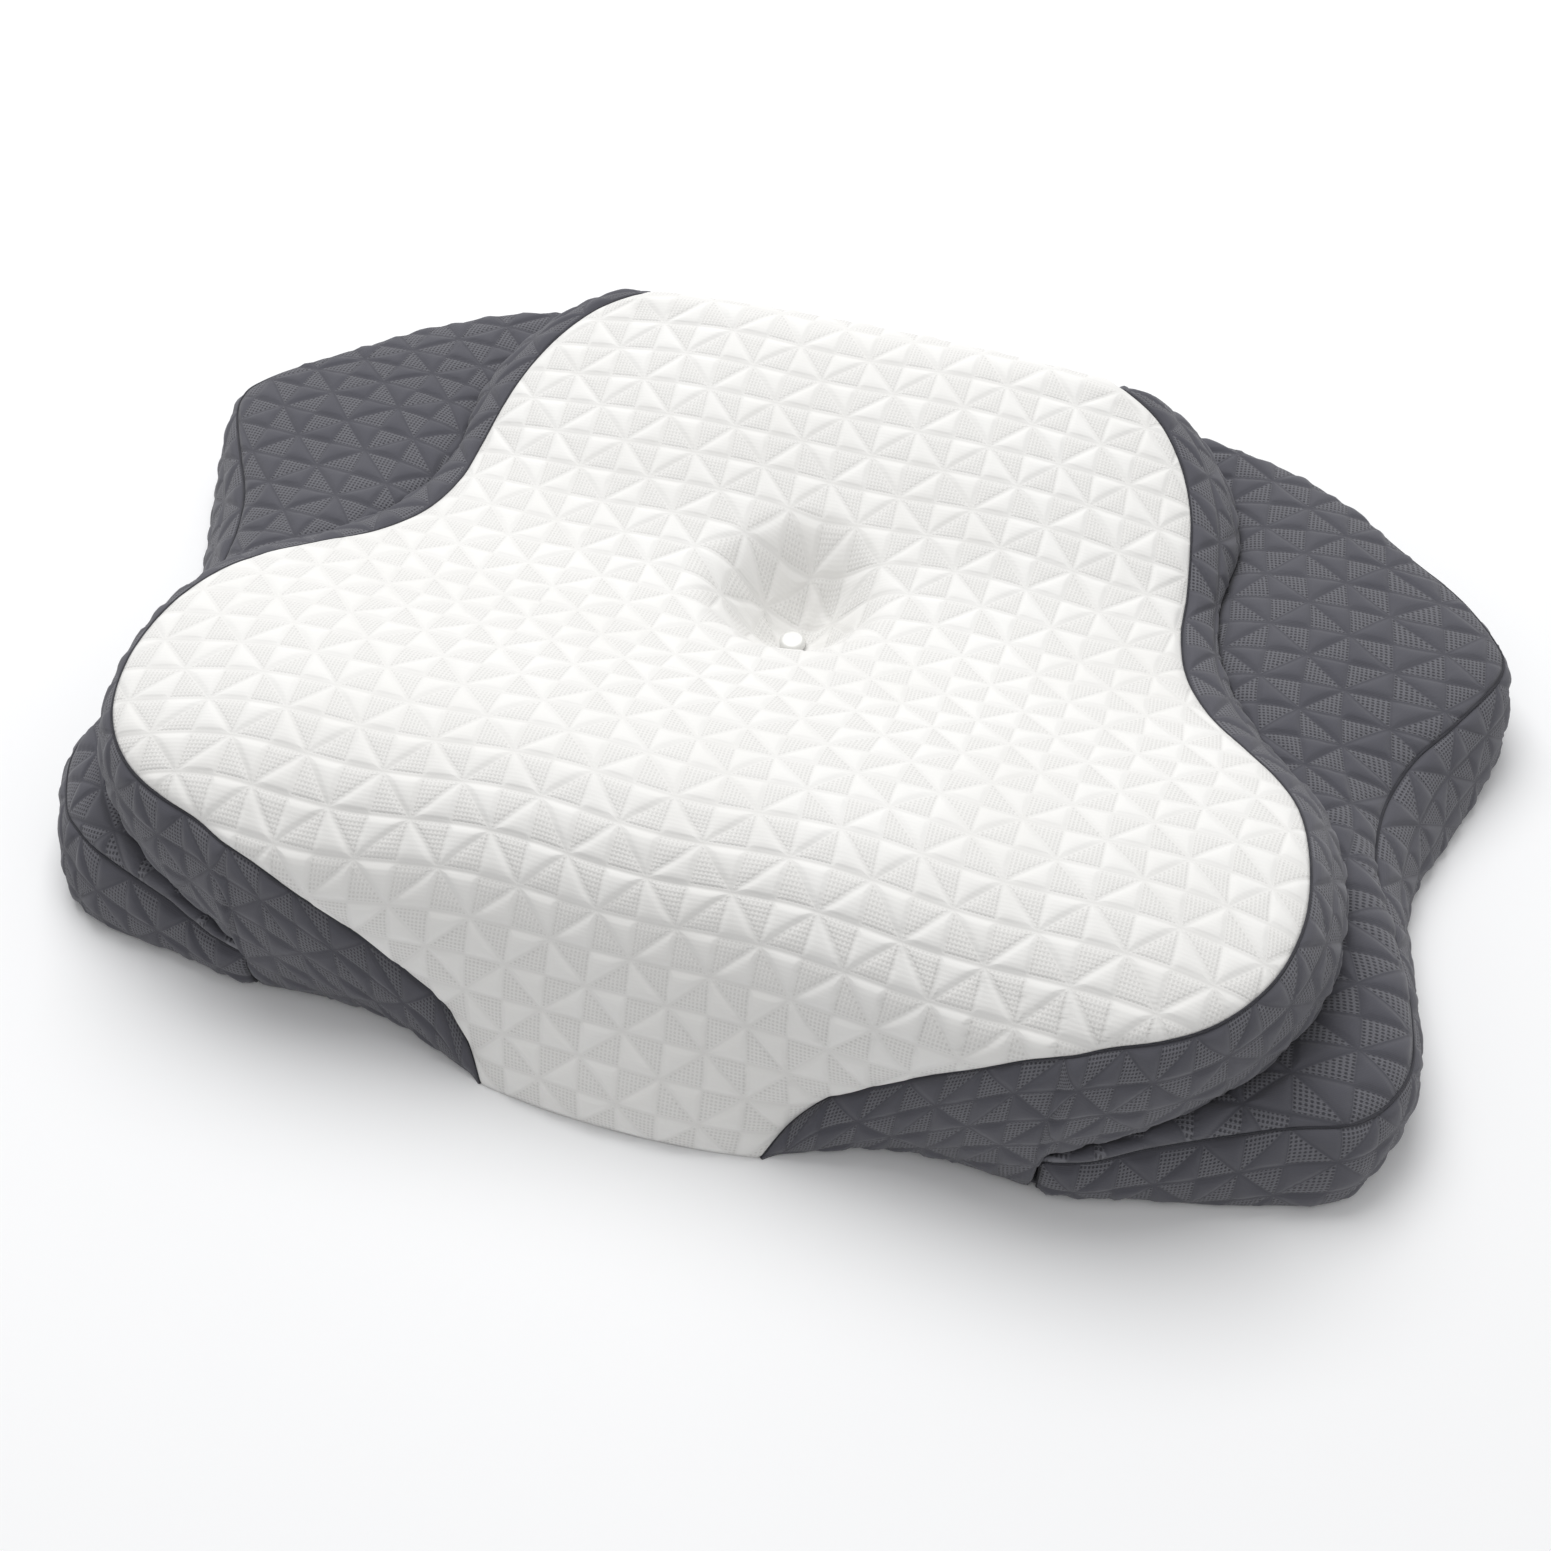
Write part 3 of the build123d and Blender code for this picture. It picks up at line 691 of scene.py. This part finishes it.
def bottomPanel():
    # Rings that shrink the floor line towards the middle by equal shares.
    front = throughRows(upperRows[:, 5:8], np.linspace(0, 7, 60))[:, :2]
    side = throughRows(lowerRows[:, 6:9], np.linspace(0, lowerLast, 260))[1:, :2]
    right = np.concatenate([front, side])
    centreFront = np.array([[0, -0.212], [0.03, -0.2105]])
    half = np.concatenate([centreFront, right])
    ring = np.concatenate([half, (half * (-1, 1))[-2:0:-1]])
    shares = np.linspace(1, 0.02, 40)[:, None, None]
    plan = ring[None] * shares * bottomSizes["outerShare"]
    points = np.concatenate([plan, np.full(plan.shape[:2] + (1,), bottomSizes["height"])], -1)
    rows, columns = points.shape[:2]
    middle = rows * columns
    faces = gridFaces(rows, columns, flip=True, closedAcross=True).tolist()
    lastRing = np.arange(middle - columns, middle)
    faces += np.stack([np.roll(lastRing, -1), lastRing, np.full(columns, middle)], -1).tolist()
    points = np.concatenate([points.reshape(-1, 3), [(0, 0, bottomSizes["height"])]])
    panel = meshObject("bottomPanel", points, faces)
    panel.data.materials.append(underCloth)
    wall = panel.modifiers.new("clothThickness", "SOLIDIFY")
    wall.thickness = bottomSizes["thickness"]
    wall.offset = -1
    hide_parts("bottom_panel")


bottomPanel()
print("bottom sewn")


fillingSizes = {"linerInset": 6.5 * mm, "linerWall": 0.8 * mm, "foamInset": 9.5 * mm, "floorGap": 4 * mm,
                "shaftRadius": 9 * mm}


def movedIn(curve, inset):
    # Plan points moved against the outward normal (dy, -dx) of their own line.
    slope = np.gradient(curve[:, :2], axis=0)
    slope /= np.maximum(np.linalg.norm(slope, axis=1, keepdims=True), 1e-9)
    moved = curve.copy()
    moved[:, 0] -= inset * slope[:, 1]
    moved[:, 1] += inset * slope[:, 0]
    return moved


def fillingBody(name, inset, material, node, wall=None):
    # The cover's own surfaces, each edge moved in by the same distance, joined and closed underneath.
    low = fillingSizes["floorGap"] + inset * 0.1
    above = np.concatenate([np.linspace(0, 8, 25), np.linspace(8, upperLast, 90)[1:]])
    below = np.concatenate([above[24:] - 8, np.linspace(upperLast - 8, lowerLast, 9)[1:]])
    upper, lower = throughRows(upperRows, above), throughRows(lowerRows, below)
    seam, crease = movedIn(upper[:, 0:3], inset), movedIn(upper[:, 5:8], inset)
    seam[:, 2] -= inset
    slope = np.gradient(upper[:, 3:5], axis=0)
    slope /= np.linalg.norm(slope, axis=1, keepdims=True)
    middle = upper[:, 3:5] - inset * np.stack([-slope[:, 1], slope[:, 0]], -1)
    inner, edge, foot = (movedIn(lower[:, i:i + 3], inset) for i in (0, 3, 6))
    for curve in (crease, inner, edge):
        curve[:, 2] -= inset
    for curve in (inner, edge, foot):
        curve[:, 0] = np.maximum(curve[:, 0], 0)
    crease[24:] = inner[:len(crease) - 24]
    u = np.linspace(-1, 1, 97)[None, :]
    x = u * np.maximum(seam[:, None, 0], 0)
    y = middle[:, None, 0] + (seam[:, None, 1] - middle[:, None, 0]) * np.abs(u) ** topPanelSizes["wallPower"]
    z = middle[:, None, 1] + (seam[:, None, 2] - middle[:, None, 1]) * np.abs(u) ** topPanelSizes["crownPower"]
    sink, r = dimpleSink(x, y)
    z = np.where(r < fillingSizes["shaftRadius"], low, z - sink)
    grids = [np.stack([x, y, z], -1)]
    for first, second, columns in ((seam, crease, 9), (inner, edge, 9), (edge, foot, 7)):
        w = np.linspace(0, 1, columns)[None, :, None]
        ruled = first[:, None] * (1 - w) + second[:, None] * w
        grids += [ruled, ruled * (-1, 1, 1)]
    points, faces, start = [], [], 0
    for i, grid in enumerate(grids):
        rows, columns = grid.shape[:2]
        points.append(grid.reshape(-1, 3))
        faces += (gridFaces(rows, columns, flip=i % 2 == 0 and i > 0) + start).tolist()
        start += rows * columns
    points = np.concatenate(points)
    points[:, 2] = np.maximum(points[:, 2], low)
    body = meshObject(name, points, faces)
    shell = bmesh.new()
    shell.from_mesh(body.data)
    bmesh.ops.remove_doubles(shell, verts=shell.verts, dist=0.3 * mm)
    bmesh.ops.dissolve_degenerate(shell, dist=0.1 * mm, edges=shell.edges)
    crowded = {face for edge in shell.edges if len(edge.link_faces) > 2 for face in edge.link_faces}
    bmesh.ops.delete(shell, geom=list(crowded), context="FACES")
    bmesh.ops.holes_fill(shell, edges=shell.edges, sides=0)
    bmesh.ops.triangulate(shell, faces=[f for f in shell.faces if len(f.verts) > 4])
    bmesh.ops.recalc_face_normals(shell, faces=shell.faces)
    shell.to_mesh(body.data)
    shell.free()
    body.data.materials.append(material)
    if wall:
        solid = body.modifiers.new("linerWall", "SOLIDIFY")
        solid.thickness = wall
        solid.offset = -1
    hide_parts(node)


fillingBody("foamCore", fillingSizes["foamInset"], foamCells, "foam_core")
fillingBody("innerLiner", fillingSizes["linerInset"], linerCloth, "inner_liner",
            fillingSizes["linerWall"])
print("filling in place")


def tube(name, path, radius, material, sides):
    # A ring of points carried along the path, turned by the path's own direction; both ends closed.
    path = np.asarray(path, float)
    ahead = np.gradient(path, axis=0)
    ahead /= np.maximum(np.linalg.norm(ahead, axis=1, keepdims=True), 1e-12)
    up = np.zeros_like(ahead)
    up[:, 2] = 1
    sideways = np.cross(ahead, up)
    short = np.linalg.norm(sideways, axis=1) < 1e-3
    sideways[short] = (1, 0, 0)
    sideways /= np.linalg.norm(sideways, axis=1, keepdims=True)
    up = np.cross(sideways, ahead)
    turn = np.linspace(0, 2 * np.pi, sides, endpoint=False)[None, :, None]
    rings = path[:, None] + radius * (np.cos(turn) * sideways[:, None] + np.sin(turn) * up[:, None])
    rings[..., 2] = np.maximum(rings[..., 2], 0.1 * mm)
    count = len(path)
    points = np.concatenate([rings.reshape(-1, 3), path[:1], path[-1:]])
    faces = gridFaces(count, sides, flip=True, closedAcross=True).tolist()
    for j in range(sides):
        k = (j + 1) % sides
        faces.append([j, k, count * sides])
        faces.append([(count - 1) * sides + k, (count - 1) * sides + j, count * sides + 1])
    made = meshObject(name, points, faces)
    made.data.materials.append(material)
    return made


seamSizes = {"threadRadius": 0.6 * mm}


def buildSeams():
    # One dark thread along each seam of the right half, and its mirror image: a real seam thread whose dark
    # colour also stands for the painted shadow in the seam's crevice.
    upperAt = np.linspace(0, upperLast, 320)
    lowerAt = np.linspace(0, lowerLast, 320)
    upper, lower = throughRows(upperRows, upperAt), throughRows(lowerRows, lowerAt)
    lines = {"seamTop": upper[:, 0:3], "seamCrease": lower[:, 0:3], "seamBase": lower[:, 3:6]}
    lines["seamUpright"] = np.linspace(lowerRows[0, 3:6], lowerRows[0, 6:9], 12)
    for name, line in lines.items():
        line = line.copy()
        line[:, 2] = np.maximum(line[:, 2], seamSizes["threadRadius"])
        for side, word in ((1, "Right"), (-1, "Left")):
            tube(name + word, line * (side, 1, 1), seamSizes["threadRadius"], seamThreadAndShadow, 6)


coilSizes = {"pitch": 1.5 * mm, "wire": 0.34 * mm, "pointsPerTurn": 10}


def zipCoil(node, name, side):
    # A flattened helix along X inside the box of its node: y and z are a cosine and a sine of the turn,
    # and its outer bights meet on the zip's middle line.
    low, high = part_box(node)
    wire = coilSizes["wire"]
    turns = (high.x - low.x - 2 * wire) / coilSizes["pitch"]
    angle = np.linspace(0, 2 * np.pi * turns, int(turns * coilSizes["pointsPerTurn"]))
    x = low.x + wire + (high.x - low.x - 2 * wire) * angle / angle[-1]
    deep, tall = (high.y - low.y) / 2 - wire, (high.z - low.z) / 2 - wire * 0.6
    y = (high.y + low.y) / 2 + deep * np.cos(angle)
    z = (high.z + low.z) / 2 + tall * np.sin(angle + side * 0.6)
    coil = tube(name, np.stack([x, y, z], -1), wire, coilPlastic, 5)
    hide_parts(node)


buildSeams()
zipCoil("zip_coil_upper", "zipCoilUpper", 1)
zipCoil("zip_coil_lower", "zipCoilLower", -1)
print("seams and zip ready")


finishes = {
    "zip_tape_upper": tapeCloth, "zip_tape_lower": tapeCloth,
    "zip_stops": zipMetal, "zip_slider": zipMetal,
    "zip_pull": zipMetal, "button": buttonResin, "button_patch": webCloth, "button_tether": webCloth,
    "anchor_disc": buttonResin, "anchor_patch": webCloth, "care_label": labelCloth,
}
for node, material in finishes.items():
    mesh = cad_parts[node].data
    mesh.materials.clear()
    mesh.materials.append(material)


stageSizes = {
    "floorHalf": 6.0, "worldStrength": 0.52,
    "keyPlace": (-0.50, 0.85, 2.0), "keySize": 1.5, "keyPower": 38,
    "fillPlace": (1.6, -0.4, 1.3), "fillSize": 1.6, "fillPower": 2, "aim": (0, 0, 0.05),
    "cameraPlace": (0.2081, -0.6728, 0.8428), "cameraDip": 50.82, "cameraTurn": 16.92, "lens": 55.7,
}


def buildStage():
    # A pale floor, an even white world, two soft lights and the camera.
    half = stageSizes["floorHalf"]
    mesh = bpy.data.meshes.new("floor")
    corners = [(-half, -half, 0), (half, -half, 0), (half, half, 0), (-half, half, 0)]
    mesh.from_pydata(corners, [], [(0, 1, 2, 3)])
    floor = bpy.data.objects.new("floor", mesh)
    bpy.context.scene.collection.objects.link(floor)
    material, tree, shader = newMaterial("paleFloor", 0.9, specular=0.1)
    drift = noiseNode(tree, placeNode(tree, "Object"), 3.0)
    shade = mixColour(tree, drift, (0.90, 0.905, 0.915, 1), (0.92, 0.923, 0.93, 1))
    tree.links.new(shade, shader.inputs["Base Color"])
    mesh.materials.append(material)

    world = bpy.data.worlds.new("studio")
    bpy.context.scene.world = world
    world.use_nodes = True
    world.node_tree.nodes["Background"].inputs["Color"].default_value = (1.0, 1.0, 1.0, 1)
    world.node_tree.nodes["Background"].inputs["Strength"].default_value = stageSizes["worldStrength"]

    for word in ("key", "fill"):
        data = bpy.data.lights.new(word + "Light", "AREA")
        data.size = stageSizes[word + "Size"]
        data.energy = stageSizes[word + "Power"]
        lamp = bpy.data.objects.new(word + "Light", data)
        bpy.context.scene.collection.objects.link(lamp)
        lamp.location = stageSizes[word + "Place"]
        aim = Vector(stageSizes["aim"]) - Vector(stageSizes[word + "Place"])
        lamp.rotation_euler = aim.to_track_quat("-Z", "Y").to_euler()

    data = bpy.data.cameras.new("camera")
    data.lens = stageSizes["lens"]
    data.sensor_width = 36
    camera = bpy.data.objects.new("camera", data)
    bpy.context.scene.collection.objects.link(camera)
    camera.location = stageSizes["cameraPlace"]
    upTurn, sideTurn = 90 - stageSizes["cameraDip"], stageSizes["cameraTurn"]
    camera.rotation_euler = (math.radians(upTurn), 0, math.radians(sideTurn))
    bpy.context.scene.camera = camera


buildStage()
bpy.context.scene.view_settings.view_transform = "Standard"
bpy.context.view_layer.update()
print("scene ready")
